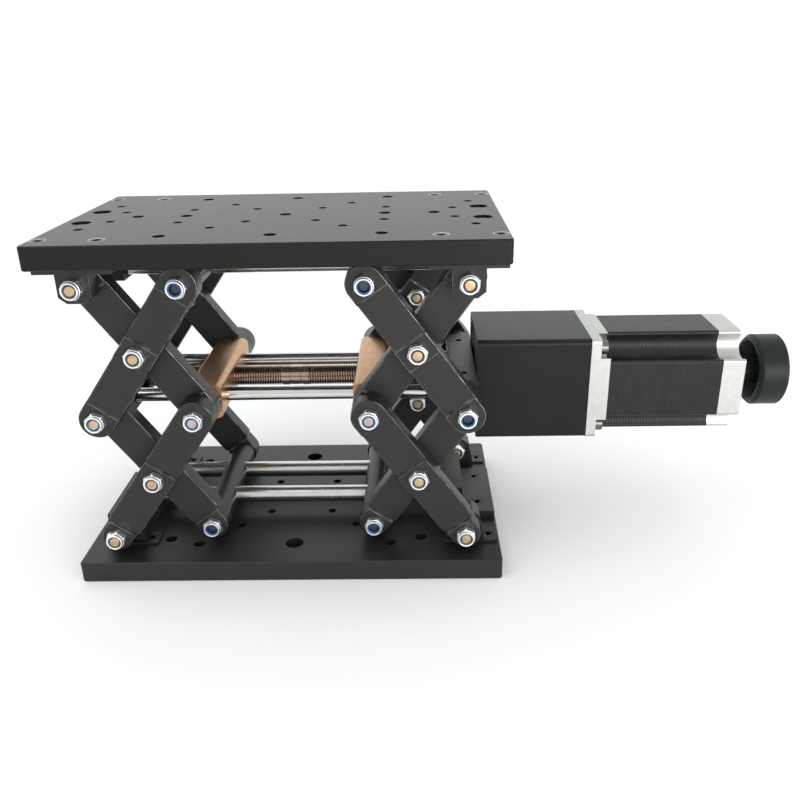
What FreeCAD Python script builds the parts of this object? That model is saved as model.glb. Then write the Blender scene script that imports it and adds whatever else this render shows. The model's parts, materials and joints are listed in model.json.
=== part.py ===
import FreeCAD, Part
import math
import os

import Sketcher
from FreeCAD import Placement, Rotation, Vector

# Motorised double-scissor lab jack.
# Frame: origin at the centre of the base plate's underside, +X towards the motor, +Y to the back, +Z up.
# Every length is in millimetres, and the jack stands at its rest height.

DIMENSIONS = {
    # plates
    "plate_length": 240.0,
    "plate_width": 150.0,
    "plate_thick": 12.5,
    "plate_corner": 2.0,
    "plate_edge": 0.6,
    "rest_height": 193.5,
    # linkage
    "outer_x": 99.5,
    "pivot_offset": 11.2,
    "arm_length": 90.0,
    "arm_half_width": 10.0,
    "arm_foot_radius": 8.5,
    "arm_core_thick": 9.6,
    "arm_pad_thick": 12.0,
    "arm_pad_reach": 7.0,
    "arm_edge": 0.5,
    "pad_edge": 0.4,
    "layer_gap": 0.3,
    "inner_layer_y": 41.2,
    # pivots and their nuts
    "pin_radius": 4.0,
    "pin_hole_radius": 4.06,
    "thread_radius": 3.0,
    "thread_hole_radius": 3.06,
    "nut_corner_radius": 5.77,
    "nut_hex_height": 4.4,
    "nut_height": 6.0,
    "nut_collar_radius": 4.75,
    "nut_gap": 0.1,
    "bolt_head_height": 4.0,
    "thread_recess": 0.6,
    "stud_depth": 7.5,
    # brackets
    "top_foot_half_length": 20.0,
    "top_foot_thick": 4.0,
    "base_foot_reach": 19.0,
    "base_foot_inner_y": 43.2,
    "base_foot_width": 12.6,
    "base_foot_thick": 3.8,
    "base_foot_inset": 2.5,
    "inset_gap": 0.05,
    "ear_half_width": 8.6,
    "ear_root_half_width": 11.5,
    "ear_tip_half_width": 4.4,
    "ear_shoulder_rise": 4.7,
    "ear_tip_rise": 8.0,
    "top_ear_thick": 12.0,
    "top_screw_near": 14.0,
    "top_screw_far": 15.5,
    "top_screw_y": 61.0,
    "foot_cap_x": 14.2,
    "foot_screw_radius": 2.5,
    "foot_screw_hole_radius": 2.55,
    "top_screw_head_radius": 4.2,
    "top_screw_head_height": 2.6,
    "base_screw_head_radius": 4.2,
    "base_screw_head_height": 4.0,
    "base_screw_recess": 5.0,
    "base_screw_grip": 5.8,
    "foot_cap_radius": 3.4,
    "foot_cap_height": 2.4,
    "foot_cap_tapped": 6.0,
    # guide rods and sliders
    "end_rod_radius": 5.0,
    "end_rod_y": 16.5,
    "end_rod_half_length": 99.5,
    "slider_radius": 7.5,
    "rod_running_gap": 0.06,
    "fixed_gap": 0.02,
    "side_gap": 0.3,
    "support_start": 88.0,
    "support_thick": 12.0,
    "support_width": 48.0,
    "support_rise": 7.0,
    "support_foot_end": 119.5,
    "support_foot_width": 56.0,
    "support_foot_thick": 4.0,
    "support_screw_x": 109.6,
    "support_screw_radius": 2.0,
    "support_screw_hole_radius": 2.05,
    "support_head_radius": 3.5,
    "support_head_height": 4.0,
    "support_low_head_height": 2.4,
    "support_tapped_depth": 8.0,
    # middle frame
    "mid_rod_radius": 4.0,
    "mid_rod_y": 28.5,
    "mid_rod_half_length": 104.0,
    "end_block_thick": 15.0,
    "end_block_height": 22.0,
    "set_screw_radius": 2.0,
    "bearing_radius": 9.0,
    "bearing_width": 7.0,
    "nut_block_width": 20.0,
    "nut_block_height": 20.0,
    "nut_block_round": 3.5,
    # lead screw and drive
    "screw_radius": 6.0,
    "screw_half_length": 91.0,
    "journal_radius": 5.0,
    "screw_tail": 106.0,
    "screw_nose": 126.0,
    "housing_length": 64.0,
    "housing_side": 60.0,
    "housing_round": 3.0,
    "housing_bore_radius": 17.0,
    "coupling_radius": 13.0,
    "coupling_start": 112.0,
    "coupling_length": 30.0,
    # motor
    "motor_side": 60.0,
    "flange_thick": 5.5,
    "flange_boss_thick": 5.5,
    "stator_length": 63.5,
    "rear_cap_length": 12.5,
    "notch_radius": 8.0,
    "corner_notch_radius": 9.0,
    "notch_edge_round": 1.5,
    "motor_hole_spacing": 47.14,
    "motor_hole_radius": 2.3,
    "motor_screw_radius": 2.2,
    "motor_screw_head_radius": 4.2,
    "motor_screw_head_height": 4.6,
    "motor_bore_radius": 16.0,
    "shaft_radius": 4.0,
    "shaft_hole_radius": 4.5,
    "rotor_radius": 15.4,
    "rotor_length": 50.0,
    # handwheel
    "wheel_start": 271.5,
    "wheel_thick": 16.9,
    "wheel_radius": 21.0,
    "wheel_chamfer": 2.0,
    "wheel_outer_chamfer": 1.0,
    "wheel_recess": 8.5,
    "wheel_recess_radius": 17.5,
    "wheel_recess_bevel": 4.5,
    "wheel_hub_radius": 8.0,
    "wheel_hub_reach": 9.5,
    "wheel_web": 5.0,
    # plate holes
    "row_y": 55.5,
    "column_x": 56.0,
    "wide_column_x": 83.5,
    "inner_grid": 19.0,
    "diagonal_grid": 35.0,
    "edge_near_x": 94.5,
    "edge_near_y": 14.0,
    "edge_far_x": 104.5,
    "medium_hole_radius": 3.3,
    "small_hole_radius": 2.5,
    "counterbore_radius": 5.25,
    "counterbore_depth": 5.2,
    "corner_hole_x": 74.0,
    "corner_hole_y": 50.0,
}

doc = FreeCAD.newDocument("LabJack")
sheet = doc.addObject("Spreadsheet::Sheet", "Dims")
for row, (alias, number) in enumerate(DIMENSIONS.items(), start=1):
    sheet.set(f"A{row}", alias)
    sheet.set(f"B{row}", str(number))
    sheet.setAlias(f"B{row}", alias)
doc.recompute()


class Size:
    """A length that carries its number and the spreadsheet expression it comes from."""

    def __init__(self, value, text):
        self.value = value
        self.text = text

    def __add__(self, other):
        other = as_size(other)
        return Size(self.value + other.value, f"({self.text} + {other.text})")

    def __sub__(self, other):
        other = as_size(other)
        return Size(self.value - other.value, f"({self.text} - {other.text})")

    def __mul__(self, other):
        other = as_size(other)
        return Size(self.value * other.value, f"({self.text} * {other.text})")

    def __truediv__(self, other):
        other = as_size(other)
        return Size(self.value / other.value, f"({self.text} / {other.text})")

    def __neg__(self):
        return Size(-self.value, f"(0 - {self.text})")


def as_size(thing):
    """A plain number as a Size."""
    return thing if isinstance(thing, Size) else Size(float(thing), repr(float(thing)))


def dim(alias):
    """The spreadsheet cell with this alias."""
    return Size(sheet.get(alias), f"Dims.{alias}")


ZERO = as_size(0)

# Heights of the three pivot levels, and the lift of one arm.
base_pivot_z = dim("plate_thick") + dim("pivot_offset")
top_pivot_z = dim("rest_height") - dim("plate_thick") - dim("pivot_offset")
mid_pivot_z = dim("rest_height") / 2
arm_rise = mid_pivot_z - base_pivot_z
arm_run = Size(
    math.sqrt(dim("arm_length").value ** 2 - arm_rise.value**2),
    f"sqrt(Dims.arm_length ^ 2 - {arm_rise.text} ^ 2)",
)
arm_angle = Size(
    math.degrees(math.asin(arm_rise.value / dim("arm_length").value)),
    f"asin({arm_rise.text} / Dims.arm_length)",
)
outer_x = dim("outer_x")
inner_x = outer_x - arm_run

# The two arm layers, as distances from the middle plane.
inner_layer_in = dim("inner_layer_y")
inner_layer_out = inner_layer_in + dim("arm_pad_thick")
outer_layer_in = inner_layer_out + dim("layer_gap")
outer_layer_out = outer_layer_in + dim("arm_pad_thick")
block_half_width = inner_layer_in - dim("side_gap")

TURN = {
    "X": Rotation(Vector(0, 1, 0), 90),
    "Y": Rotation(Vector(1, 0, 0), -90),
    "Z": Rotation(),
}
SIDES = {"left": -1, "right": 1}
ENDS = {"front": -1, "rear": 1}
nodes = {}


# ---------------------------------------------------------------- building blocks


def set_size(item, prop, size):
    """Bind a property to its expression, with its number set first."""
    size = as_size(size)
    setattr(item, prop, size.value)
    item.setExpression(prop, size.text)


def place(item, at, rotation=None):
    """Put an object at a point given by three sizes."""
    x, y, z = (as_size(part) for part in at)
    item.Placement = Placement(Vector(x.value, y.value, z.value), rotation or Rotation())
    for axis, part in zip("xyz", (x, y, z)):
        item.setExpression(f"Placement.Base.{axis}", part.text)
    return item


def cylinder(name, radius, length, at, axis="Z"):
    """A cylinder that starts at a point and runs along +axis."""
    item = doc.addObject("Part::Cylinder", name)
    set_size(item, "Radius", radius)
    set_size(item, "Height", length)
    return place(item, at, TURN[axis])


def hexagon(name, corner_radius, length, at, axis="Z"):
    """A hexagonal prism that starts at a point and runs along +axis."""
    item = doc.addObject("Part::Prism", name)
    item.Polygon = 6
    set_size(item, "Circumradius", corner_radius)
    set_size(item, "Height", length)
    return place(item, at, TURN[axis])


def upright(name, radius, x, y, start, end):
    """A cylinder along Z between two heights, given in either order."""
    low, high = (start, end) if start.value < end.value else (end, start)
    return cylinder(name, radius, high - low, (x, y, low))


def box(name, lengths, low):
    """A box from its lowest corner."""
    item = doc.addObject("Part::Box", name)
    for prop, size in zip(("Length", "Width", "Height"), lengths):
        set_size(item, prop, size)
    return place(item, low)


def fused(name, pieces):
    """One solid made of overlapping pieces."""
    item = doc.addObject("Part::MultiFuse", name)
    item.Shapes = pieces
    item.Refine = True
    return item


def cut(name, base, tools):
    """A piece with every tool taken out of it."""
    item = doc.addObject("Part::Cut", name)
    item.Base = base
    item.Tool = tools[0] if len(tools) == 1 else fused(name + "_tools", tools)
    return item


def node(name, item):
    """Name the object that becomes one part file."""
    item.Label = name
    nodes[name] = item
    return item


def group(name, pieces):
    """Several separate solids that share one part file."""
    item = doc.addObject("Part::Compound", name)
    item.Links = pieces
    return node(name, item)


# ---------------------------------------------------------------- sketch helpers


def new_sketch(body, role, offset=ZERO):
    """A sketch on one of the body's own origin planes, moved along its normal."""
    plane = next(item for item in body.Origin.OriginFeatures if item.Role == role)
    sketch = body.newObject("Sketcher::SketchObject", body.Name + "_sketch")
    sketch.AttachmentSupport = [(plane, "")]
    sketch.MapMode = "FlatFace"
    sketch.AttachmentOffset = Placement(Vector(0, 0, offset.value), Rotation())
    sketch.setExpression("AttachmentOffset.Base.z", offset.text)
    return sketch


def fix_along(sketch, kind, geometry, point, size):
    """Hold one coordinate of a sketch point at a signed distance from the origin."""
    size = as_size(size)
    if size.value == 0:
        axis = -2 if kind == "DistanceX" else -1
        sketch.addConstraint(Sketcher.Constraint("PointOnObject", geometry, point, axis))
        return
    if size.value > 0:
        ends = (-1, 1, geometry, point)
    else:
        ends = (geometry, point, -1, 1)
        size = -size
    index = sketch.addConstraint(Sketcher.Constraint(kind, *ends, size.value))
    sketch.setExpression(f"Constraints[{index}]", size.text)


def fix_point(sketch, geometry, point, x, y):
    """Hold a sketch point at signed distances from the origin."""
    fix_along(sketch, "DistanceX", geometry, point, x)
    fix_along(sketch, "DistanceY", geometry, point, y)


def fix_radius(sketch, geometry, radius):
    """Hold the radius of a circle or arc."""
    index = sketch.addConstraint(Sketcher.Constraint("Radius", geometry, radius.value))
    sketch.setExpression(f"Constraints[{index}]", radius.text)


def draw_polygon(sketch, corners):
    """A closed outline through corners given as pairs of sizes."""
    corners = [(as_size(x), as_size(y)) for x, y in corners]
    points = [Vector(x.value, y.value, 0) for x, y in corners]
    following = points[1:] + points[:1]
    lines = [
        sketch.addGeometry(Part.LineSegment(start, end), False)
        for start, end in zip(points, following)
    ]
    for line, after in zip(lines, lines[1:] + lines[:1]):
        sketch.addConstraint(Sketcher.Constraint("Coincident", line, 2, after, 1))
    for line, (x, y) in zip(lines, corners):
        fix_point(sketch, line, 1, x, y)


def draw_rectangle(sketch, half_x, half_y, middle_y=ZERO):
    """A rectangle centred on the sketch's vertical axis."""
    low = middle_y - half_y
    high = middle_y + half_y
    draw_polygon(sketch, [(-half_x, low), (half_x, low), (half_x, high), (-half_x, high)])


def draw_circles(sketch, centres, radius):
    """Circles of one radius at pairs of sizes."""
    for x, y in centres:
        middle = Vector(as_size(x).value, as_size(y).value, 0)
        circle = sketch.addGeometry(Part.Circle(middle, Vector(0, 0, 1), radius.value), False)
        fix_point(sketch, circle, 3, x, y)
        fix_radius(sketch, circle, radius)


def draw_arm(sketch, length, half_width, foot_radius, shoulder):
    """An arm's outline: round at both ends, and narrower from a small foot to its shoulder."""
    size, wide, narrow = length.value, half_width.value, foot_radius.value
    normal = Vector(0, 0, 1)
    foot_arc = Part.ArcOfCircle(Part.Circle(Vector(0, 0, 0), normal, narrow), math.pi / 2, math.pi * 1.5)
    head_arc = Part.ArcOfCircle(Part.Circle(Vector(size, 0, 0), normal, wide), -math.pi / 2, math.pi / 2)
    foot = sketch.addGeometry(foot_arc, False)
    head = sketch.addGeometry(head_arc, False)
    sketch.addConstraint(Sketcher.Constraint("Coincident", foot, 3, -1, 1))
    fix_radius(sketch, foot, foot_radius)
    fix_point(sketch, head, 3, length, ZERO)
    fix_radius(sketch, head, half_width)
    step = shoulder + (half_width - foot_radius)
    for side, foot_end, head_end in ((1, 1, 2), (-1, 2, 1)):
        points = [Vector(0, side * narrow, 0), Vector(size, side * wide, 0)]
        if narrow < wide:
            points[1:1] = [Vector(shoulder.value, side * narrow, 0), Vector(step.value, side * wide, 0)]
        lines = [
            sketch.addGeometry(Part.LineSegment(start, end), False)
            for start, end in zip(points, points[1:])
        ]
        for line, after in zip(lines, lines[1:]):
            sketch.addConstraint(Sketcher.Constraint("Coincident", line, 2, after, 1))
        sketch.addConstraint(Sketcher.Constraint("Tangent", foot, foot_end, lines[0], 1))
        sketch.addConstraint(Sketcher.Constraint("Tangent", head, head_end, lines[-1], 2))
        if narrow < wide:
            sketch.addConstraint(Sketcher.Constraint("Horizontal", lines[0]))
            sketch.addConstraint(Sketcher.Constraint("Horizontal", lines[-1]))
            fix_along(sketch, "DistanceX", lines[0], 2, shoulder)
            fix_along(sketch, "DistanceX", lines[-1], 1, step)


def draw_end_pad(sketch, middle, radius, edge):
    """A pad that is round at an arm's end and square at its edge across the arm."""
    side = 1 if middle.value > edge.value else -1
    centre = Vector(middle.value, 0, 0)
    first = -math.pi / 2 if side > 0 else math.pi / 2
    arc = Part.ArcOfCircle(Part.Circle(centre, Vector(0, 0, 1), radius.value), first, first + math.pi)
    rounded = sketch.addGeometry(arc, False)
    fix_point(sketch, rounded, 3, middle, ZERO)
    fix_radius(sketch, rounded, radius)
    high = side * radius.value
    points = [
        Vector(middle.value, high, 0),
        Vector(edge.value, high, 0),
        Vector(edge.value, -high, 0),
        Vector(middle.value, -high, 0),
    ]
    lines = [
        sketch.addGeometry(Part.LineSegment(start, end), False) for start, end in zip(points, points[1:])
    ]
    sketch.addConstraint(Sketcher.Constraint("Tangent", rounded, 2, lines[0], 1))
    sketch.addConstraint(Sketcher.Constraint("Coincident", lines[0], 2, lines[1], 1))
    sketch.addConstraint(Sketcher.Constraint("Coincident", lines[1], 2, lines[2], 1))
    sketch.addConstraint(Sketcher.Constraint("Tangent", lines[2], 2, rounded, 1))
    sketch.addConstraint(Sketcher.Constraint("Horizontal", lines[0]))
    sketch.addConstraint(Sketcher.Constraint("Vertical", lines[1]))
    sketch.addConstraint(Sketcher.Constraint("Horizontal", lines[2]))
    fix_along(sketch, "DistanceX", lines[1], 1, edge)


# ---------------------------------------------------------------- body features


def add_pad(body, sketch, length, both_ways=False):
    """Raise a sketch into solid material."""
    pad = body.newObject("PartDesign::Pad", body.Name + "_pad")
    pad.Profile = sketch
    set_size(pad, "Length", length)
    pad.Midplane = both_ways
    return pad


def add_pocket(body, sketch, depth=None):
    """Cut a sketch right through, or to a depth below its plane."""
    pocket = body.newObject("PartDesign::Pocket", body.Name + "_pocket")
    pocket.Profile = sketch
    if depth is None:
        pocket.Type = "ThroughAll"
        pocket.Midplane = True
    else:
        set_size(pocket, "Length", depth)
    return pocket


def dress(body, kind, feature, edges, prop, size):
    """A fillet or chamfer on named edges or faces of a feature."""
    item = body.newObject("PartDesign::" + kind, f"{body.Name}_{kind.lower()}")
    item.Base = (feature, edges)
    set_size(item, prop, size)
    return item


def edges_along(feature, axis):
    """Names of the straight edges that run along an axis."""
    doc.recompute()
    names = []
    for number, edge in enumerate(feature.Shape.Edges, start=1):
        straight = edge.Curve.TypeId == "Part::GeomLine"
        if straight and abs(edge.tangentAt(edge.FirstParameter).dot(axis)) > 0.999:
            names.append(f"Edge{number}")
    return names


def end_faces(feature, axis):
    """Names of the flat faces furthest out along an axis, both ways."""
    doc.recompute()
    faces = feature.Shape.Faces
    reach = max(abs(face.CenterOfMass.dot(axis)) for face in faces)
    return [
        f"Face{number}"
        for number, face in enumerate(faces, start=1)
        if abs(abs(face.CenterOfMass.dot(axis)) - reach) < 0.001
    ]


def four_ways(x, y):
    """A point and its mirror images in both middle planes."""
    return [(x * sx, y * sy) for sx in (-1, 1) for sy in (-1, 1)]


def two_ways(point_x, point_y):
    """A point on a middle plane and its mirror image."""
    return [(point_x * sign, point_y * sign) for sign in (-1, 1)]


# ---------------------------------------------------------------- plates


def plate_blank(name):
    """A plate with rounded corners and broken edges, its underside at local z = 0."""
    body = doc.addObject("PartDesign::Body", name)
    sketch = new_sketch(body, "XY_Plane")
    draw_rectangle(sketch, dim("plate_length") / 2, dim("plate_width") / 2)
    pad = add_pad(body, sketch, dim("plate_thick"))
    corners = edges_along(pad, Vector(0, 0, 1))
    rounded = dress(body, "Fillet", pad, corners, "Radius", dim("plate_corner"))
    doc.recompute()
    flats = [
        f"Face{number}"
        for number, face in enumerate(rounded.Shape.Faces, start=1)
        if abs(face.normalAt(0, 0).z) > 0.999
    ]
    dress(body, "Chamfer", rounded, flats, "Size", dim("plate_edge"))
    return body


def plate_holes(body, centres, radius, depth=None, from_below=False):
    """Round holes right through a plate, or to a depth from its top face or its underside."""
    offset = ZERO if depth is None or from_below else dim("plate_thick")
    sketch = new_sketch(body, "XY_Plane", offset)
    draw_circles(sketch, centres, radius)
    pocket = add_pocket(body, sketch, depth)
    pocket.Reversed = from_below
    return pocket


base_bracket_y = (inner_layer_in + inner_layer_out) / 2
top_bracket_y = outer_layer_in + dim("top_ear_thick") / 2
support_screw_places = four_ways(dim("support_screw_x"), dim("end_rod_y"))

base_foot_y = dim("base_foot_inner_y") + dim("base_foot_width") / 2
base_foot_bottom = dim("plate_thick") - dim("base_foot_inset")
base_foot_face = base_foot_bottom + dim("base_foot_thick")

# The base brackets' feet point the same way at both ends, so their cap screws are not mirrored along X.
base_screw_places = four_ways(outer_x, base_bracket_y)
foot_cap_places = [
    (outer_x * sx + dim("foot_cap_x"), base_foot_y * sy) for sx in (-1, 1) for sy in (-1, 1)
]
top_screw_places = four_ways(outer_x - dim("top_screw_near"), dim("top_screw_y")) + four_ways(
    outer_x + dim("top_screw_far"), dim("top_screw_y")
)
small_grid = (
    four_ways(dim("inner_grid"), dim("inner_grid"))
    + four_ways(dim("column_x"), dim("inner_grid"))
    + four_ways(dim("diagonal_grid"), dim("diagonal_grid"))
)
row_ends = two_ways(ZERO, dim("row_y"))
plate_corners = four_ways(dim("column_x"), dim("row_y"))

base_plate = node("base_plate", plate_blank("base_plate"))
base_corners = four_ways(dim("corner_hole_x"), dim("corner_hole_y"))
plate_holes(base_plate, plate_corners + base_corners + row_ends, dim("medium_hole_radius"))
plate_holes(base_plate, row_ends, dim("counterbore_radius"), dim("counterbore_depth"))
plate_holes(base_plate, small_grid, dim("small_hole_radius"))
plate_holes(base_plate, base_screw_places, dim("foot_screw_hole_radius"))
base_head_hole = dim("base_screw_head_radius") + 0.3
plate_holes(base_plate, base_screw_places, base_head_hole, dim("base_screw_recess"), from_below=True)
plate_holes(
    base_plate, support_screw_places, dim("support_screw_hole_radius"), dim("support_tapped_depth") + 1
)
insets = new_sketch(base_plate, "XY_Plane", dim("plate_thick"))
for sx in (-1, 1):
    for sy in (-1, 1):
        low_x = outer_x * sx - dim("ear_root_half_width") - dim("inset_gap")
        high_x = outer_x * sx + dim("base_foot_reach") + dim("inset_gap")
        near_y = (dim("base_foot_inner_y") - dim("inset_gap")) * sy
        far_y = (dim("base_foot_inner_y") + dim("base_foot_width") + dim("inset_gap")) * sy
        draw_polygon(insets, [(low_x, near_y), (high_x, near_y), (high_x, far_y), (low_x, far_y)])
add_pocket(base_plate, insets, dim("base_foot_inset"))
foot_cap_depth = dim("base_foot_inset") + dim("foot_cap_tapped")
plate_holes(base_plate, foot_cap_places, dim("foot_screw_hole_radius"), foot_cap_depth)

top_plate = node("top_plate", plate_blank("top_plate"))
place(top_plate, (ZERO, ZERO, dim("rest_height") - dim("plate_thick")))
top_medium = (
    plate_corners
    + row_ends
    + two_ways(dim("column_x"), ZERO)
    + two_ways(dim("wide_column_x"), ZERO)
    + [(ZERO, ZERO)]
)
top_small = (
    small_grid
    + four_ways(dim("edge_near_x"), dim("edge_near_y"))
    + four_ways(dim("edge_far_x"), dim("diagonal_grid"))
)
plate_holes(top_plate, top_medium, dim("medium_hole_radius"))
plate_holes(top_plate, support_screw_places, dim("support_screw_hole_radius"))
plate_holes(top_plate, support_screw_places, dim("counterbore_radius"), dim("counterbore_depth"))
plate_holes(top_plate, top_small, dim("small_hole_radius"))
plate_holes(top_plate, top_screw_places, dim("foot_screw_hole_radius"))
plate_holes(
    top_plate, top_screw_places, dim("top_screw_head_radius") + dim("fixed_gap"), dim("top_screw_head_height")
)


# ---------------------------------------------------------------- brackets


def ear(name, thick, outline, at, upside_down):
    """An upright plate across Y, drawn about its pivot, with the pivot's hole."""
    body = doc.addObject("PartDesign::Body", name)
    sketch = new_sketch(body, "XZ_Plane")
    draw_polygon(sketch, outline)
    add_pad(body, sketch, thick, both_ways=True)
    pivot = new_sketch(body, "XZ_Plane")
    draw_circles(pivot, [(ZERO, ZERO)], dim("pin_hole_radius"))
    add_pocket(body, pivot)
    return place(body, at, Rotation(Vector(0, 1, 0), 180) if upside_down else Rotation())


def ear_outline(half_width):
    """The upper outline of an ear, from its right shoulder over its chamfered tip to the left one."""
    right = [(half_width, dim("ear_shoulder_rise")), (dim("ear_tip_half_width"), dim("ear_tip_rise"))]
    return right + [(-x, y) for x, y in reversed(right)]


foot_floor = -dim("pivot_offset")
base_outline = [
    (-dim("ear_root_half_width"), foot_floor),
    (dim("ear_root_half_width"), foot_floor),
] + ear_outline(dim("ear_half_width"))


def base_bracket(name, sx, sy):
    """An ear on a thin one-sided foot that is let into the base plate."""
    at = (outer_x * sx, base_bracket_y * sy, base_pivot_z)
    upright_ear = ear(name + "_ear", dim("arm_pad_thick"), base_outline, at, False)
    low_x = at[0] - dim("ear_root_half_width")
    low_y = base_foot_y * sy - dim("base_foot_width") / 2
    lengths = (
        dim("ear_root_half_width") + dim("base_foot_reach"),
        dim("base_foot_width"),
        dim("base_foot_thick"),
    )
    foot = box(name + "_foot", lengths, (low_x, low_y, base_foot_bottom))
    tap_end = dim("plate_thick") + dim("base_screw_grip") + 0.2
    cap_x = at[0] + dim("foot_cap_x")
    cap_y = base_foot_y * sy
    cap_seat = base_foot_face - dim("foot_cap_height")
    cap_hole = dim("foot_cap_radius") + dim("fixed_gap")
    tools = [
        upright(name + "_tap", dim("foot_screw_hole_radius"), at[0], at[1], base_foot_bottom, tap_end),
        upright(name + "_cap_hole", dim("foot_screw_hole_radius"), cap_x, cap_y, base_foot_bottom, cap_seat),
        upright(name + "_cap_seat", cap_hole, cap_x, cap_y, cap_seat, base_foot_face),
    ]
    return cut(name, fused(name + "_solid", [upright_ear, foot]), tools)


top_foot_top = foot_floor + dim("top_foot_thick")
top_outline = [
    (-dim("ear_half_width"), top_foot_top),
    (-dim("top_foot_half_length"), top_foot_top),
    (-dim("top_foot_half_length"), foot_floor),
    (dim("top_foot_half_length"), foot_floor),
    (dim("top_foot_half_length"), top_foot_top),
    (dim("ear_half_width"), top_foot_top),
] + ear_outline(dim("ear_half_width"))


def top_bracket(name, sx, sy):
    """An ear that hangs from a foot under the top plate."""
    at = (outer_x * sx, top_bracket_y * sy, top_pivot_z)
    hanging_ear = ear(name + "_ear", dim("top_ear_thick"), top_outline, at, True)
    plate_face = dim("rest_height") - dim("plate_thick")
    tools = []
    for label, shift in (("near", -dim("top_screw_near")), ("far", dim("top_screw_far"))):
        x = (outer_x + shift) * sx
        y = dim("top_screw_y") * sy
        foot_face = plate_face - dim("top_foot_thick")
        tools.append(upright(f"{name}_{label}", dim("foot_screw_hole_radius"), x, y, foot_face, plate_face))
    return cut(name, hanging_ear, tools)


for side, sx in SIDES.items():
    base_ears = [base_bracket(f"base_ear_{side}_{end}", sx, sy) for end, sy in ENDS.items()]
    top_ears = [top_bracket(f"top_ear_{side}_{end}", sx, sy) for end, sy in ENDS.items()]
    group(f"base_brackets_{side}", base_ears)
    group(f"top_brackets_{side}", top_ears)


# ---------------------------------------------------------------- scissor arms


def arm(name, foot_radius, at, angle):
    """An arm about its lower pivot: a flat bar with raised pads at its three pivots."""
    body = doc.addObject("PartDesign::Body", name)
    length = dim("arm_length")
    half_width = dim("arm_half_width")
    reach = dim("arm_pad_reach")
    core = new_sketch(body, "XZ_Plane")
    draw_arm(core, length, half_width, foot_radius, reach)
    bar = add_pad(body, core, dim("arm_core_thick"), both_ways=True)
    dress(body, "Chamfer", bar, end_faces(bar, Vector(0, 1, 0)), "Size", dim("arm_edge"))
    raised = new_sketch(body, "XZ_Plane")
    draw_end_pad(raised, ZERO, foot_radius, reach)
    draw_end_pad(raised, length, half_width, length - reach)
    start = length / 2 - reach
    end = length / 2 + reach
    draw_polygon(raised, [(start, -half_width), (end, -half_width), (end, half_width), (start, half_width)])
    pads = add_pad(body, raised, dim("arm_pad_thick"), both_ways=True)
    dress(body, "Chamfer", pads, end_faces(pads, Vector(0, 1, 0)), "Size", dim("pad_edge"))
    holes = new_sketch(body, "XZ_Plane")
    draw_circles(holes, [(ZERO, ZERO), (length / 2, ZERO), (length, ZERO)], dim("pin_hole_radius"))
    add_pocket(body, holes)
    place(body, at, Rotation(Vector(0, -1, 0), angle.value))
    body.setExpression("Placement.Rotation.Angle", angle.text)
    return node(name, body)


outer_layer_y = (outer_layer_in + outer_layer_out) / 2
inner_layer_y = (inner_layer_in + inner_layer_out) / 2
half_turn = Size(180.0, "180 deg")
foot_round = dim("arm_foot_radius")
full_round = dim("arm_half_width")

for side, sx in SIDES.items():
    # An arm that leans inwards as it rises starts at the outer pivot, the other at the inner pivot.
    inwards = arm_angle if sx < 0 else half_turn - arm_angle
    outwards = half_turn - arm_angle if sx < 0 else arm_angle
    for end, sy in ENDS.items():
        outer_y = outer_layer_y * sy
        inner_y = inner_layer_y * sy
        arm(f"arm_{side}_lower_outer_{end}", foot_round, (outer_x * sx, outer_y, base_pivot_z), inwards)
        arm(f"arm_{side}_lower_inner_{end}", foot_round, (inner_x * sx, inner_y, base_pivot_z), outwards)
        arm(f"arm_{side}_upper_outer_{end}", full_round, (outer_x * sx, outer_y, mid_pivot_z), inwards)
        arm(f"arm_{side}_upper_inner_{end}", full_round, (inner_x * sx, inner_y, mid_pivot_z), outwards)


# ---------------------------------------------------------------- pivot fasteners


def along(name, kind, sizes, x, z, start, end):
    """A round or hexagonal length along Y between two signed distances from the middle plane."""
    low, high = (start, end) if start.value < end.value else (end, start)
    maker = hexagon if kind == "hex" else cylinder
    return maker(name, sizes, high - low, (x, low, z), "Y")


def lock_nut(name, x, z, seat, outward):
    """A hexagon lock nut with its round collar, on a seat, facing outward (+1 or -1 along Y)."""
    hex_end = seat + dim("nut_hex_height") * outward
    nut_end = seat + dim("nut_height") * outward
    solid = fused(
        name + "_blank",
        [
            along(name + "_hex", "hex", dim("nut_corner_radius"), x, z, seat, hex_end),
            along(name + "_collar", "round", dim("nut_collar_radius"), x, z, seat, nut_end),
        ],
    )
    bore = along(name + "_bore", "round", dim("thread_hole_radius"), x, z, seat, nut_end)
    return cut(name, solid, [bore])


def pivot_bolt(name, x, z, sy, shank_out, nut_outboard):
    """A shouldered bolt through two layers, with its lock nut on one side."""
    gap = dim("nut_gap")
    inboard = (inner_layer_in - gap) * sy
    outboard = (shank_out + gap) * sy
    head_seat, nut_seat = (inboard, outboard) if nut_outboard else (outboard, inboard)
    nut_way = sy if nut_outboard else -sy
    head_end = head_seat - dim("bolt_head_height") * nut_way
    thread_end = nut_seat + (dim("nut_height") - dim("thread_recess")) * nut_way
    bolt = fused(
        name + "_bolt",
        [
            along(name + "_head", "hex", dim("nut_corner_radius"), x, z, head_end, head_seat),
            along(name + "_shank", "round", dim("pin_radius"), x, z, head_seat, nut_seat),
            along(name + "_thread", "round", dim("thread_radius"), x, z, nut_seat, thread_end),
        ],
    )
    return [bolt, lock_nut(name + "_nut", x, z, nut_seat, nut_way)]


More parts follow.
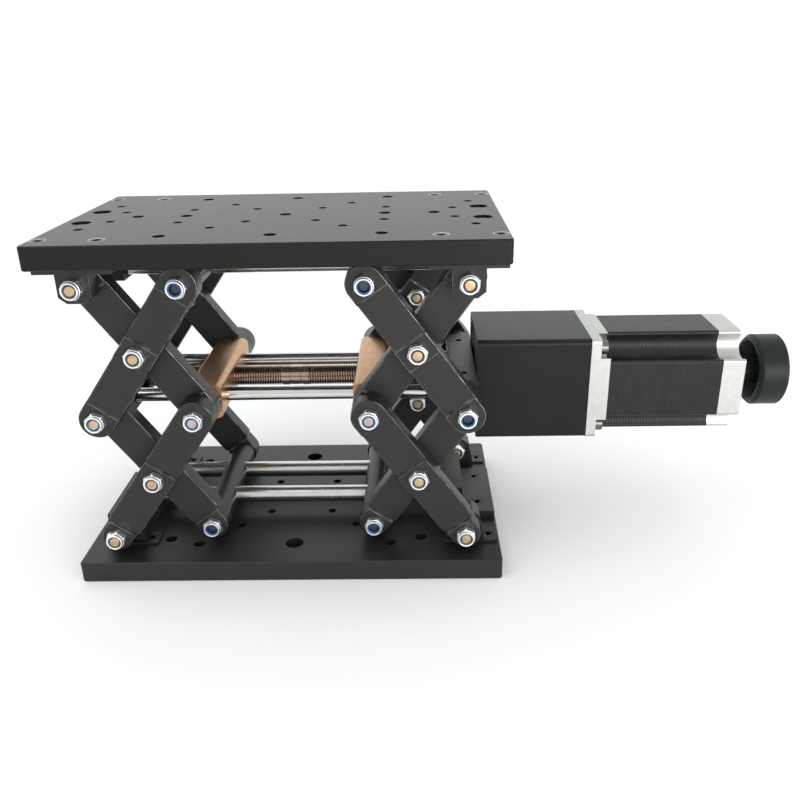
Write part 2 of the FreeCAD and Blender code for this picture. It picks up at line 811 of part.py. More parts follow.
def pivot_stud(name, x, z, sy, block_end, shank_out):
    """A shouldered stud screwed into a block's end, with its lock nut outboard."""
    start = (block_end - dim("stud_depth")) * sy
    root = (block_end + 0.05) * sy
    nut_seat = (shank_out + dim("nut_gap")) * sy
    thread_end = nut_seat + (dim("nut_height") - dim("thread_recess")) * sy
    stud = fused(
        name + "_stud",
        [
            along(name + "_root", "round", dim("thread_radius"), x, z, start, root),
            along(name + "_shank", "round", dim("pin_radius"), x, z, root, nut_seat),
            along(name + "_thread", "round", dim("thread_radius"), x, z, nut_seat, thread_end),
        ],
    )
    return [stud, lock_nut(name + "_nut", x, z, nut_seat, sy)]


base_bolts = []
top_bolts = []
mid_studs = []
top_ear_out = outer_layer_in + dim("top_ear_thick")
for side, sx in SIDES.items():
    x_out = outer_x * sx
    x_in = inner_x * sx
    x_mid = (outer_x + inner_x) / 2 * sx
    lower_bolts = []
    upper_bolts = []
    nut_block_studs = []
    base_slider_studs = []
    top_slider_studs = []
    for end, sy in ENDS.items():
        tag = f"{side}_{end}"
        faces_front = sy < 0
        base_bolts += pivot_bolt(f"base_pivot_{tag}", x_out, base_pivot_z, sy, outer_layer_out, faces_front)
        top_bolts += pivot_bolt(f"top_pivot_{tag}", x_out, top_pivot_z, sy, top_ear_out, faces_front)
        lower_z = (base_pivot_z + mid_pivot_z) / 2
        upper_z = (top_pivot_z + mid_pivot_z) / 2
        lower_bolts += pivot_bolt(f"lower_pivot_{tag}", x_mid, lower_z, sy, outer_layer_out, faces_front)
        upper_bolts += pivot_bolt(f"upper_pivot_{tag}", x_mid, upper_z, sy, outer_layer_out, faces_front)
        mid_studs += pivot_stud(f"mid_pivot_{tag}", x_out, mid_pivot_z, sy, block_half_width, outer_layer_out)
        nut_block_studs += pivot_stud(
            f"nut_pivot_{tag}", x_in, mid_pivot_z, sy, block_half_width, outer_layer_out
        )
        base_slider_studs += pivot_stud(
            f"base_slider_pivot_{tag}", x_in, base_pivot_z, sy, block_half_width, inner_layer_out
        )
        top_slider_studs += pivot_stud(
            f"top_slider_pivot_{tag}", x_in, top_pivot_z, sy, inner_layer_out, outer_layer_out
        )
    group(f"lower_centre_bolts_{side}", lower_bolts)
    group(f"upper_centre_bolts_{side}", upper_bolts)
    group(f"nut_block_studs_{side}", nut_block_studs)
    group(f"base_slider_studs_{side}", base_slider_studs)
    group(f"top_slider_studs_{side}", top_slider_studs)
group("base_pivot_bolts", base_bolts)
group("top_pivot_bolts", top_bolts)
group("mid_pivot_studs", mid_studs)


# ---------------------------------------------------------------- guide rods, sliders and supports


def rod_pair(name, radius, half_length, y, z):
    """Two parallel rods along X."""
    rods = [
        cylinder(f"{name}_{end}", radius, half_length * 2, (-half_length, y * sy, z), "X")
        for end, sy in ENDS.items()
    ]
    return group(name, rods)


def rod_holes(name, radius, x, length, y, z):
    """Two cutting cylinders along X, centred on x."""
    return [
        cylinder(f"{name}_hole_{end}", radius, length, (x - length / 2, y * sy, z), "X")
        for end, sy in ENDS.items()
    ]


def stud_holes(name, x, z, block_end):
    """The threaded holes in both ends of a cross block."""
    return [
        along(
            f"{name}_tap_{end}",
            "round",
            dim("thread_hole_radius"),
            x,
            z,
            (block_end - dim("stud_depth") - 0.5) * sy,
            (block_end + 1) * sy,
        )
        for end, sy in ENDS.items()
    ]


def slider(name, x, z, half_width):
    """A round cross bar that runs on two guide rods."""
    bar = cylinder(name + "_bar", dim("slider_radius"), half_width * 2, (x, -half_width, z), "Y")
    hole_radius = dim("end_rod_radius") + dim("rod_running_gap")
    holes = rod_holes(name, hole_radius, x, dim("slider_radius") * 3, dim("end_rod_y"), z)
    return node(name, cut(name, bar, holes + stud_holes(name, x, z, half_width)))


def spanned_box(name, x_ends, half_width, z_ends):
    """A box between two ends along X and two heights, each given in either order."""
    low_x, high_x = sorted(x_ends, key=lambda size: size.value)
    low_z, high_z = sorted(z_ends, key=lambda size: size.value)
    return box(name, (high_x - low_x, half_width * 2, high_z - low_z), (low_x, -half_width, low_z))


def rod_supports(name, z, way):
    """The two angled blocks that hold a pair of rods to a plate; way points from the plate to the rods."""
    blocks = []
    plate_face = z - dim("pivot_offset") * way
    foot_face = plate_face + dim("support_foot_thick") * way
    free_face = z + dim("support_rise") * way
    for side, sx in SIDES.items():
        label = f"{name}_{side}"
        inner = dim("support_start") * sx
        outer = inner + dim("support_thick") * sx
        foot_end = dim("support_foot_end") * sx
        wall = spanned_box(label + "_wall", (inner, outer), dim("support_width") / 2, (plate_face, free_face))
        foot = spanned_box(
            label + "_foot", (inner, foot_end), dim("support_foot_width") / 2, (plate_face, foot_face)
        )
        middle = (inner + outer) / 2
        rod_hole = dim("end_rod_radius") + dim("fixed_gap")
        tools = rod_holes(label, rod_hole, middle, dim("support_thick") * 2, dim("end_rod_y"), z)
        for end, sy in ENDS.items():
            x = dim("support_screw_x") * sx
            y = dim("end_rod_y") * sy
            screw_hole = dim("support_screw_hole_radius")
            tools.append(upright(f"{label}_hole_{end}", screw_hole, x, y, plate_face, foot_face))
            if way > 0:
                seat = foot_face - dim("support_low_head_height")
                head_hole = dim("support_head_radius") + dim("fixed_gap")
                tools.append(upright(f"{label}_seat_{end}", head_hole, x, y, seat, foot_face))
        blocks.append(cut(label, fused(label + "_blank", [wall, foot]), tools))
    return group(name, blocks)


rod_pair("base_rods", dim("end_rod_radius"), dim("end_rod_half_length"), dim("end_rod_y"), base_pivot_z)
rod_pair("top_rods", dim("end_rod_radius"), dim("end_rod_half_length"), dim("end_rod_y"), top_pivot_z)
rod_supports("base_rod_supports", base_pivot_z, 1)
rod_supports("top_rod_supports", top_pivot_z, -1)
for side, sx in SIDES.items():
    slider(f"base_slider_{side}", inner_x * sx, base_pivot_z, block_half_width)
    slider(f"top_slider_{side}", inner_x * sx, top_pivot_z, inner_layer_out)


# ---------------------------------------------------------------- plate screws


def screw(name, sizes, x, y, seat, way):
    """A screw along Z with its head on a seat; way points from the head's seat to its top."""
    head_radius, head_height, shank_radius, reach = sizes
    head_top = seat + head_height * way
    tip = seat - reach * way
    solid = fused(
        name + "_blank",
        [
            upright(name + "_head", head_radius, x, y, seat, head_top),
            upright(name + "_shank", shank_radius, x, y, tip, head_top),
        ],
    )
    low = head_top - head_height / 2 if way > 0 else head_top
    key = hexagon(name + "_key", head_radius / 2, head_height / 2, (x, y, low))
    return cut(name, solid, [key])


def screws_at(name, sizes, places, seat, way):
    """Equal screws at pairs of sizes, with their heads on one seat."""
    return [
        screw(f"{name}_{number}", sizes, x, y, seat, way)
        for number, (x, y) in enumerate(places, start=1)
    ]


base_bracket_screw = (
    dim("base_screw_head_radius"),
    dim("base_screw_head_height"),
    dim("foot_screw_radius"),
    dim("plate_thick") - dim("base_screw_recess") + dim("base_screw_grip"),
)
foot_cap_screw = (
    dim("foot_cap_radius"),
    dim("foot_cap_height"),
    dim("foot_screw_radius"),
    dim("base_foot_thick") - dim("foot_cap_height") + dim("foot_cap_tapped") - 0.5,
)
base_support_screw = (
    dim("support_head_radius"),
    dim("support_low_head_height"),
    dim("support_screw_radius"),
    dim("support_foot_thick") - dim("support_low_head_height") + dim("support_tapped_depth"),
)
top_bracket_screw = (
    dim("top_screw_head_radius"),
    dim("top_screw_head_height"),
    dim("foot_screw_radius"),
    dim("plate_thick") - dim("top_screw_head_height") + dim("top_foot_thick") - 0.2,
)
top_support_screw = (
    dim("support_head_radius"),
    dim("support_head_height"),
    dim("support_screw_radius"),
    dim("plate_thick") - dim("counterbore_depth") + dim("support_foot_thick") - 0.2,
)
foot_cap_seat = base_foot_face - dim("foot_cap_height")
base_support_seat = dim("plate_thick") + dim("support_foot_thick") - dim("support_low_head_height")
top_support_seat = dim("rest_height") - dim("counterbore_depth")
top_bracket_seat = dim("rest_height") - dim("top_screw_head_height")
group(
    "base_screws",
    screws_at("base_bracket_screw", base_bracket_screw, base_screw_places, dim("base_screw_recess"), -1)
    + screws_at("foot_cap_screw", foot_cap_screw, foot_cap_places, foot_cap_seat, 1)
    + screws_at("base_support_screw", base_support_screw, support_screw_places, base_support_seat, 1),
)
group(
    "top_screws",
    screws_at("top_bracket_screw", top_bracket_screw, top_screw_places, top_bracket_seat, 1)
    + screws_at("top_support_screw", top_support_screw, support_screw_places, top_support_seat, 1),
)


# ---------------------------------------------------------------- middle frame


def cross_block(name, x, thick, height, corner):
    """A block across the jack at the middle level, about its own centre."""
    body = doc.addObject("PartDesign::Body", name)
    sketch = new_sketch(body, "XZ_Plane")
    draw_rectangle(sketch, thick / 2, height / 2)
    pad = add_pad(body, sketch, block_half_width * 2, both_ways=True)
    dress(body, "Fillet", pad, edges_along(pad, Vector(0, 1, 0)), "Radius", corner)
    taps = new_sketch(body, "XZ_Plane", block_half_width)
    draw_circles(taps, [(ZERO, ZERO)], dim("thread_hole_radius"))
    add_pocket(body, taps, dim("stud_depth") + 0.5)
    far_taps = new_sketch(body, "XZ_Plane", -block_half_width)
    draw_circles(far_taps, [(ZERO, ZERO)], dim("thread_hole_radius"))
    far_pocket = add_pocket(body, far_taps, dim("stud_depth") + 0.5)
    far_pocket.Reversed = True
    place(body, (x, ZERO, mid_pivot_z))
    return body


def end_block(name, x):
    """A block that joins the outer middle pivots and holds the guide rods and a screw bearing."""
    body = cross_block(name, x, dim("end_block_thick"), dim("end_block_height"), dim("plate_edge"))
    rods = new_sketch(body, "YZ_Plane")
    draw_circles(rods, two_ways(dim("mid_rod_y"), ZERO), dim("mid_rod_radius") + dim("fixed_gap"))
    add_pocket(body, rods)
    seat = new_sketch(body, "YZ_Plane")
    draw_circles(seat, [(ZERO, ZERO)], dim("bearing_radius") + dim("fixed_gap"))
    add_pocket(body, seat)
    grubs = new_sketch(body, "XY_Plane", dim("end_block_height") / 2)
    draw_circles(grubs, two_ways(ZERO, dim("mid_rod_y")), dim("set_screw_radius"))
    add_pocket(body, grubs, dim("end_block_height") / 4)
    return node(name, body)


def nut_block(name, x):
    """A bronze block threaded on the lead screw, that slides on the middle guide rods."""
    body = cross_block(
        name, x, dim("nut_block_width"), dim("nut_block_height"), dim("nut_block_round")
    )
    rods = new_sketch(body, "YZ_Plane")
    gap = dim("rod_running_gap")
    draw_circles(rods, two_ways(dim("mid_rod_y"), ZERO), dim("mid_rod_radius") + gap)
    add_pocket(body, rods)
    thread = new_sketch(body, "YZ_Plane")
    draw_circles(thread, [(ZERO, ZERO)], dim("screw_radius") + gap)
    add_pocket(body, thread)
    return node(name, body)


bearings = []
for side, sx in SIDES.items():
    end_block(f"mid_end_block_{side}", outer_x * sx)
    nut_block(f"nut_block_{side}", inner_x * sx)
    start = outer_x * sx - dim("bearing_width") / 2
    ring = cylinder(
        f"bearing_{side}_ring", dim("bearing_radius"), dim("bearing_width"), (start, ZERO, mid_pivot_z), "X"
    )
    bore_radius = dim("journal_radius") + dim("rod_running_gap")
    bore = cylinder(
        f"bearing_{side}_bore", bore_radius, dim("bearing_width"), (start, ZERO, mid_pivot_z), "X"
    )
    bearings.append(cut(f"bearing_{side}", ring, [bore]))
group("screw_bearings", bearings)
rod_pair("mid_rods", dim("mid_rod_radius"), dim("mid_rod_half_length"), dim("mid_rod_y"), mid_pivot_z)

housing_start = outer_x + dim("end_block_thick") / 2
housing_end = housing_start + dim("housing_length")


def square_body(name, side_length, start, length, corner):
    """A square section along X, from a start, with its long edges rounded."""
    body = doc.addObject("PartDesign::Body", name)
    sketch = new_sketch(body, "YZ_Plane")
    draw_rectangle(sketch, side_length / 2, side_length / 2)
    pad = add_pad(body, sketch, length)
    dress(body, "Fillet", pad, edges_along(pad, Vector(1, 0, 0)), "Radius", corner)
    place(body, (start, ZERO, mid_pivot_z))
    return body


def bore_through(body, radius):
    """A round hole along the body's X axis."""
    sketch = new_sketch(body, "YZ_Plane")
    draw_circles(sketch, [(ZERO, ZERO)], radius)
    return add_pocket(body, sketch)


def corner_cuts(body, centres, radius, offset, depth):
    """Round notches down the four corners, from an offset along X back towards the start."""
    sketch = new_sketch(body, "YZ_Plane", offset)
    draw_circles(sketch, centres, radius)
    return add_pocket(body, sketch, depth)


housing = square_body(
    "coupling_housing", dim("housing_side"), housing_start, dim("housing_length"), dim("housing_round")
)
bore_through(housing, dim("housing_bore_radius"))
node("coupling_housing", housing)


# ---------------------------------------------------------------- motor

flange_length = dim("flange_thick") + dim("flange_boss_thick")
stator_start = housing_end + flange_length
rear_start = stator_start + dim("stator_length")
corner_places = four_ways(dim("motor_side") / 2, dim("motor_side") / 2)
screw_places = four_ways(dim("motor_hole_spacing") / 2, dim("motor_hole_spacing") / 2)



def notches(body, offset, depth):
    """Round the four corners away about the motor's screws, from an offset along X back by a depth."""
    corner_cuts(body, screw_places, dim("notch_radius"), offset, depth)
    return corner_cuts(body, corner_places, dim("corner_notch_radius"), offset, depth)


flange = square_body("motor_flange", dim("motor_side"), housing_end, flange_length, dim("plate_corner"))
notches(flange, flange_length, dim("flange_boss_thick"))
corner_cuts(flange, screw_places, dim("motor_hole_radius"), flange_length, flange_length)
bore_through(flange, dim("shaft_hole_radius"))
node("motor_flange", flange)

for name, start, length, bore in (
    ("motor_stator", stator_start, dim("stator_length"), dim("motor_bore_radius")),
    ("motor_rear_cap", rear_start, dim("rear_cap_length"), dim("shaft_hole_radius")),
):
    section = square_body(name, dim("motor_side"), start, length, dim("plate_corner"))
    notched = notches(section, length, length)
    shoulders = edges_along(notched, Vector(1, 0, 0))
    dress(section, "Fillet", notched, shoulders, "Radius", dim("notch_edge_round"))
    bore_through(section, bore)
    node(name, section)

motor_screws = []
head_seat = housing_end + dim("flange_thick")
for number, (y, z) in enumerate(screw_places, start=1):
    label = f"motor_screw_{number}"
    at_head = (head_seat, y, mid_pivot_z + z)
    at_tip = (head_seat - dim("flange_thick"), y, mid_pivot_z + z)
    head_height = dim("motor_screw_head_height")
    head = cylinder(label + "_head", dim("motor_screw_head_radius"), head_height, at_head, "X")
    stem = cylinder(label + "_stem", dim("motor_screw_radius"), dim("flange_thick"), at_tip, "X")
    motor_screws.append(fused(label, [head, stem]))
group("motor_screws", motor_screws)


# ---------------------------------------------------------------- lead screw, coupling, rotor, handwheel

screw_half = dim("screw_half_length")
screw_body = cylinder(
    "screw_body", dim("screw_radius"), screw_half * 2, (-screw_half, ZERO, mid_pivot_z), "X"
)
screw_journals = cylinder(
    "screw_journals",
    dim("journal_radius"),
    dim("screw_tail") + dim("screw_nose"),
    (-dim("screw_tail"), ZERO, mid_pivot_z),
    "X",
)
node("lead_screw", fused("lead_screw", [screw_body, screw_journals]))

coupling_start = dim("coupling_start")
shaft_start = dim("screw_nose") + 1
hub = cylinder(
    "coupling_hub", dim("coupling_radius"), dim("coupling_length"), (coupling_start, ZERO, mid_pivot_z), "X"
)
screw_socket = cylinder(
    "coupling_screw_bore",
    dim("journal_radius") + dim("fixed_gap"),
    dim("screw_nose") + 0.5 - coupling_start,
    (coupling_start, ZERO, mid_pivot_z),
    "X",
)
shaft_socket = cylinder(
    "coupling_shaft_bore",
    dim("shaft_radius") + dim("fixed_gap"),
    dim("coupling_length"),
    (coupling_start, ZERO, mid_pivot_z),
    "X",
)
node("shaft_coupling", cut("shaft_coupling", hub, [screw_socket, shaft_socket]))

wheel_start = dim("wheel_start")
shaft_end = wheel_start + dim("wheel_thick") - dim("wheel_web") - 0.5
shaft = cylinder(
    "rotor_shaft", dim("shaft_radius"), shaft_end - shaft_start, (shaft_start, ZERO, mid_pivot_z), "X"
)
rotor_start = stator_start + (dim("stator_length") - dim("rotor_length")) / 2
stack = cylinder(
    "rotor_stack", dim("rotor_radius"), dim("rotor_length"), (rotor_start, ZERO, mid_pivot_z), "X"
)
node("motor_rotor", fused("motor_rotor", [shaft, stack]))


def handwheel():
    """A disc with a hub and a bevelled recess on the motor side, turned about X."""
    body = doc.addObject("PartDesign::Body", "handwheel")
    sketch = new_sketch(body, "XY_Plane")
    bore = dim("shaft_radius") + dim("fixed_gap")
    radius = dim("wheel_radius")
    thick = dim("wheel_thick")
    chamfer = dim("wheel_chamfer")
    outer_chamfer = dim("wheel_outer_chamfer")
    recess = dim("wheel_recess")
    recess_radius = dim("wheel_recess_radius")
    hub_radius = dim("wheel_hub_radius")
    hub_start = -dim("wheel_hub_reach")
    bore_end = thick - dim("wheel_web")
    draw_polygon(
        sketch,
        [
            (hub_start, bore),
            (bore_end, bore),
            (bore_end, ZERO),
            (thick, ZERO),
            (thick, radius - outer_chamfer),
            (thick - outer_chamfer, radius),
            (chamfer, radius),
            (ZERO, radius - chamfer),
            (ZERO, recess_radius),
            (recess, recess_radius - dim("wheel_recess_bevel")),
            (recess, hub_radius),
            (hub_start, hub_radius),
        ],
    )
    turned = body.newObject("PartDesign::Revolution", "handwheel_turned")
    turned.Profile = sketch
    axis = next(item for item in body.Origin.OriginFeatures if item.Role == "X_Axis")
    turned.ReferenceAxis = (axis, [""])
    turned.Angle = 360
    place(body, (wheel_start, ZERO, mid_pivot_z))
    return node("handwheel", body)


handwheel()


# ---------------------------------------------------------------- checks and export

doc.recompute()
for item in doc.Objects:
    if "Invalid" in item.State or "Error" in item.State:
        raise RuntimeError(f"{item.Label}: {item.State}")
for item in doc.Objects:
    if item.TypeId == "PartDesign::Pocket" and item.Shape.Volume >= item.BaseFeature.Shape.Volume - 0.01:
        raise RuntimeError(f"{item.Label} cuts nothing")
for name, item in nodes.items():
    if item.Shape.isNull() or not item.Shape.isValid():
        raise RuntimeError(f"{name} has a bad shape")

os.makedirs("parts", exist_ok=True)
for name, item in nodes.items():
    item.Shape.exportStep(f"parts/{name}.step")
print(len(nodes), "parts written, arm angle", round(arm_angle.value, 3), "inner x", round(inner_x.value, 3))
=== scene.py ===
import json
import math

import bmesh
import bpy
from mathutils import Matrix, Vector


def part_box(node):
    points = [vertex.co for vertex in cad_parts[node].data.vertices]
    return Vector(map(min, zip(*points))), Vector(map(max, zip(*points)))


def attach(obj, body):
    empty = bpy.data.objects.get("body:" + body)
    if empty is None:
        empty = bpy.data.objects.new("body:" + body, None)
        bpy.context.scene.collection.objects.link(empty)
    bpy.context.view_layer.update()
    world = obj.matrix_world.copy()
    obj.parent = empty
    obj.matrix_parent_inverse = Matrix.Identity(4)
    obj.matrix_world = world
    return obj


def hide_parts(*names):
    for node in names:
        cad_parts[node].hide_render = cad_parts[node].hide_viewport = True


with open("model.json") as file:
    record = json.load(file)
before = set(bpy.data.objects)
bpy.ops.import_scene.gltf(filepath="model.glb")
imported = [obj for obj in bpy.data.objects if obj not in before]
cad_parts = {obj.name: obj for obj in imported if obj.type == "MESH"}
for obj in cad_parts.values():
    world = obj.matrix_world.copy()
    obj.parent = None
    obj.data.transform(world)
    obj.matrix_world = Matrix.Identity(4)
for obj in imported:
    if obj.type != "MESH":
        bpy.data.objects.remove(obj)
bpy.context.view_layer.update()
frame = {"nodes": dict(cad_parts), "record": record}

# Sizes of parts are in mm, times MM. The camera, the stage, bump depths and MERGE_DISTANCE are in metres.
MM = 0.001
nodes = frame["nodes"]
record = frame["record"]
body_of = {node: body for body, members in record["behaviour"]["bodies"].items() for node in members}
joint_at = {joint["name"]: joint["pos_m"] for joint in record["behaviour"]["joints"]}

# ------------------------------------------------------------------ camera

CAMERA_AT = Vector((0.0719, -0.4639, 0.2762))
CAMERA_LENS = 36.84
SENSOR_WIDTH = 36.0
CAMERA_PITCH = math.radians(23.01)
CAMERA_YAW = math.radians(1.18)
CAMERA_ROLL = math.radians(-1.15)


def add_camera():
    """In front of the jack and above it, right of the plates' middle, looking down with a slight roll."""
    cp, sp = math.cos(CAMERA_PITCH), math.sin(CAMERA_PITCH)
    cy, sy = math.cos(CAMERA_YAW), math.sin(CAMERA_YAW)
    forward = Vector((-sy * cp, cy * cp, -sp))
    right = Vector((cy, sy, 0.0))
    up = right.cross(forward)
    cr, sr = math.cos(CAMERA_ROLL), math.sin(CAMERA_ROLL)
    right, up = cr * right + sr * up, cr * up - sr * right
    data = bpy.data.cameras.new("camera")
    data.lens = CAMERA_LENS
    data.sensor_width = SENSOR_WIDTH
    data.clip_start = 0.01
    data.clip_end = 50.0
    camera = bpy.data.objects.new("camera", data)
    turn = Matrix((right, up, -forward)).transposed()
    camera.matrix_world = Matrix.Translation(CAMERA_AT) @ turn.to_4x4()
    bpy.context.scene.collection.objects.link(camera)
    bpy.context.scene.camera = camera


# ------------------------------------------------------------------ materials

# Where most of a noise's values lie.
NOISE_LOW, NOISE_HIGH = 0.3, 0.7


class Shader:
    """A node tree with one Principled shader, and short names for the nodes it needs."""

    def __init__(self, name, colour, roughness, metallic=0.0, specular=0.5):
        self.material = bpy.data.materials.new(name)
        self.material.use_nodes = True
        self.tree = self.material.node_tree
        self.bsdf = next(n for n in self.tree.nodes if n.type == "BSDF_PRINCIPLED")
        self.bsdf.inputs["Base Color"].default_value = (*colour, 1.0)
        self.bsdf.inputs["Roughness"].default_value = roughness
        self.bsdf.inputs["Metallic"].default_value = metallic
        self.bsdf.inputs["Specular IOR Level"].default_value = specular
        self.coords = self.tree.nodes.new("ShaderNodeTexCoord").outputs["Object"]
        self.bump_out = None

    def link(self, out, into):
        self.tree.links.new(out, into)

    def stretched(self, scale):
        """Object coordinates scaled along each axis."""
        mapping = self.tree.nodes.new("ShaderNodeMapping")
        mapping.inputs["Scale"].default_value = scale
        self.link(self.coords, mapping.inputs["Vector"])
        return mapping.outputs["Vector"]

    def noise(self, scale, detail=2.0, vector=None):
        node = self.tree.nodes.new("ShaderNodeTexNoise")
        node.inputs["Scale"].default_value = scale
        node.inputs["Detail"].default_value = detail
        self.link(vector or self.coords, node.inputs["Vector"])
        return node.outputs["Fac"]

    def bands(self, scale):
        """Fine straight bands across the X axis."""
        node = self.tree.nodes.new("ShaderNodeTexWave")
        node.wave_type = "BANDS"
        node.bands_direction = "X"
        node.inputs["Scale"].default_value = scale
        self.link(self.coords, node.inputs["Vector"])
        return node.outputs["Fac"]

    def remap(self, value, low, high):
        """Maps the range where a noise mostly lies onto low..high."""
        node = self.tree.nodes.new("ShaderNodeMapRange")
        node.inputs["From Min"].default_value = NOISE_LOW
        node.inputs["From Max"].default_value = NOISE_HIGH
        node.inputs["To Min"].default_value = low
        node.inputs["To Max"].default_value = high
        self.link(value, node.inputs["Value"])
        return node.outputs["Result"]

    def colour_between(self, value, dark, light):
        ramp = self.tree.nodes.new("ShaderNodeValToRGB")
        ramp.color_ramp.elements[0].position = NOISE_LOW
        ramp.color_ramp.elements[1].position = NOISE_HIGH
        ramp.color_ramp.elements[0].color = (*dark, 1.0)
        ramp.color_ramp.elements[1].color = (*light, 1.0)
        self.link(value, ramp.inputs["Fac"])
        self.link(ramp.outputs["Color"], self.bsdf.inputs["Base Color"])

    def rough_between(self, value, low, high):
        self.link(self.remap(value, low, high), self.bsdf.inputs["Roughness"])

    def bump(self, height, distance, strength=1.0):
        """Adds a layer of bump, distance in metres."""
        node = self.tree.nodes.new("ShaderNodeBump")
        node.inputs["Distance"].default_value = distance
        node.inputs["Strength"].default_value = strength
        self.link(height, node.inputs["Height"])
        if self.bump_out is not None:
            self.link(self.bump_out, node.inputs["Normal"])
        self.bump_out = node.outputs["Normal"]
        self.link(self.bump_out, self.bsdf.inputs["Normal"])


def anodised(name, dark, light, rough, specular, grain=(1.0, 1.0, 1.0)):
    """Aluminium with a black anodised skin over a fine machined or blasted grain."""
    s = Shader(name, light, rough[0], specular=specular)
    s.colour_between(s.noise(60.0, 4.0), dark, light)
    s.rough_between(s.noise(700.0, 3.0, s.stretched(grain)), *rough)
    s.bump(s.noise(3800.0, 2.0, s.stretched(grain)), 0.00001, 0.3)
    return s.material


def metal(name, dark, light, rough, grain=(1.0, 1.0, 1.0), scale=2500.0, depth=0.000002):
    """A bare metal with a fine grain."""
    s = Shader(name, light, rough[0], metallic=1.0)
    s.colour_between(s.noise(240.0, 3.0), dark, light)
    vector = s.stretched(grain)
    s.rough_between(s.noise(scale * 0.5, 3.0, vector), *rough)
    s.bump(s.noise(scale, 2.0, vector), depth, 0.3)
    return s.material


def polished(name, dark, light, rough):
    """A ground and polished rod, with only a faint variation along it."""
    s = Shader(name, light, rough[0], metallic=1.0)
    s.colour_between(s.noise(60.0, 2.0), dark, light)
    s.rough_between(s.noise(90.0, 2.0), *rough)
    return s.material


def plastic(name, dark, light, rough, grain_scale, depth, specular=0.5):
    """A moulded plastic with a fine texture."""
    s = Shader(name, light, rough[0], specular=specular)
    s.colour_between(s.noise(90.0, 3.0), dark, light)
    s.rough_between(s.noise(400.0, 3.0), *rough)
    s.bump(s.noise(grain_scale, 2.0), depth, 0.5)
    return s.material


def laminated(name):
    """A black coated stack of thin laminations, whose edges run round the motor."""
    s = Shader(name, (0.010, 0.010, 0.010), 0.4, specular=0.3)
    s.colour_between(s.noise(120.0, 3.0), (0.006, 0.006, 0.006), (0.011, 0.011, 0.010))
    s.rough_between(s.noise(500.0, 3.0, s.stretched((6.0, 0.3, 0.3))), 0.34, 0.5)
    s.bump(s.bands(180.0), 0.00012, 0.8)
    s.bump(s.noise(2600.0, 2.0, s.stretched((3.0, 0.2, 0.2))), 0.00001, 0.4)
    return s.material


# Linear colours, and the scales and bump depths that several materials share.
ANODISED_DARK = (0.0115, 0.0116, 0.0104)
ANODISED_LIGHT = (0.0150, 0.0152, 0.0138)
NYLON_GRAIN = 1800.0
NYLON_DEPTH = 0.00001
BOLT_END_DEPTH = 0.00002

MATERIALS = {
    "black_anodised": anodised("black_anodised", ANODISED_DARK, ANODISED_LIGHT, (0.36, 0.42), 0.36),
    "ground_rod": polished("ground_rod", (0.60, 0.58, 0.58), (0.66, 0.64, 0.64), (0.14, 0.20)),
    "zinc_fastener": metal("zinc_fastener", (0.80, 0.81, 0.83), (0.92, 0.93, 0.95), (0.32, 0.44)),
    "black_screw": metal("black_screw", (0.03, 0.03, 0.03), (0.06, 0.06, 0.058), (0.28, 0.38)),
    "bronze": metal("bronze", (0.48, 0.27, 0.15), (0.56, 0.33, 0.19), (0.30, 0.40), (1, 0.3, 1), 3600.0),
    "screw_steel": polished("screw_steel", (0.36, 0.27, 0.21), (0.44, 0.34, 0.27), (0.20, 0.28)),
    "bright_aluminium": metal("bright_aluminium", (0.47, 0.47, 0.45), (0.53, 0.53, 0.51), (0.40, 0.50)),
    "motor_black": laminated("motor_black"),
    "knob_plastic": plastic(
        "knob_plastic",
        (0.0055, 0.0085, 0.0078),
        (0.0095, 0.0135, 0.0125),
        rough=(0.38, 0.48),
        grain_scale=2400.0,
        depth=0.00002,
        specular=0.22,
    ),
}
PLATE_BLACK = anodised(
    "plate_black", (0.0050, 0.0054, 0.0046), (0.0072, 0.0074, 0.0064), (0.32, 0.37), 0.22
)
HOUSING_BLACK = anodised(
    "housing_black", (0.0045, 0.0047, 0.0042), (0.0062, 0.0064, 0.0058), (0.34, 0.40), 0.22
)
END_ROD = polished("end_rod", (0.56, 0.56, 0.57), (0.62, 0.62, 0.63), (0.22, 0.28))
BOLT_END = metal("bolt_end", (0.44, 0.33, 0.22), (0.66, 0.50, 0.32), (0.30, 0.42), depth=BOLT_END_DEPTH)
BOLT_END_PLAIN = metal(
    "bolt_end_plain", (0.42, 0.34, 0.31), (0.58, 0.48, 0.44), (0.30, 0.42), depth=BOLT_END_DEPTH
)
BLUE_NYLON = plastic(
    "blue_nylon", (0.020, 0.075, 0.180), (0.035, 0.120, 0.270), (0.30, 0.42), NYLON_GRAIN, NYLON_DEPTH
)
# Darker metal on the thread roots: painted shade in the grooves.
THREAD_ROOT_SHADE = metal("thread_root_shade", (0.15, 0.11, 0.08), (0.21, 0.16, 0.12), (0.40, 0.55))
OILED_STEEL = metal("oiled_steel", (0.12, 0.12, 0.115), (0.20, 0.20, 0.195), (0.26, 0.36))
# A lighter metal for broken edges: painted highlight lines along them.
EDGE_HIGHLIGHT = metal("edge_highlight", (0.02, 0.02, 0.019), (0.32, 0.32, 0.31), (0.24, 0.36))
GREY_NYLON = plastic(
    "grey_nylon", (0.050, 0.052, 0.055), (0.080, 0.082, 0.085), (0.40, 0.50), NYLON_GRAIN, NYLON_DEPTH
)
# A dark bluish material for a nut's bore and a deep bolt end: painted shade inside the nut.
PAINTED_SHADE = plastic(
    "painted_shade_thread", (0.020, 0.027, 0.046), (0.034, 0.043, 0.070), (0.30, 0.45), NYLON_GRAIN, NYLON_DEPTH
)
# A lighter metal for the rings round the top bracket screws: a painted highlight.
RIM_HIGHLIGHT = metal("rim_highlight", (0.36, 0.36, 0.35), (0.52, 0.52, 0.51), (0.30, 0.42))

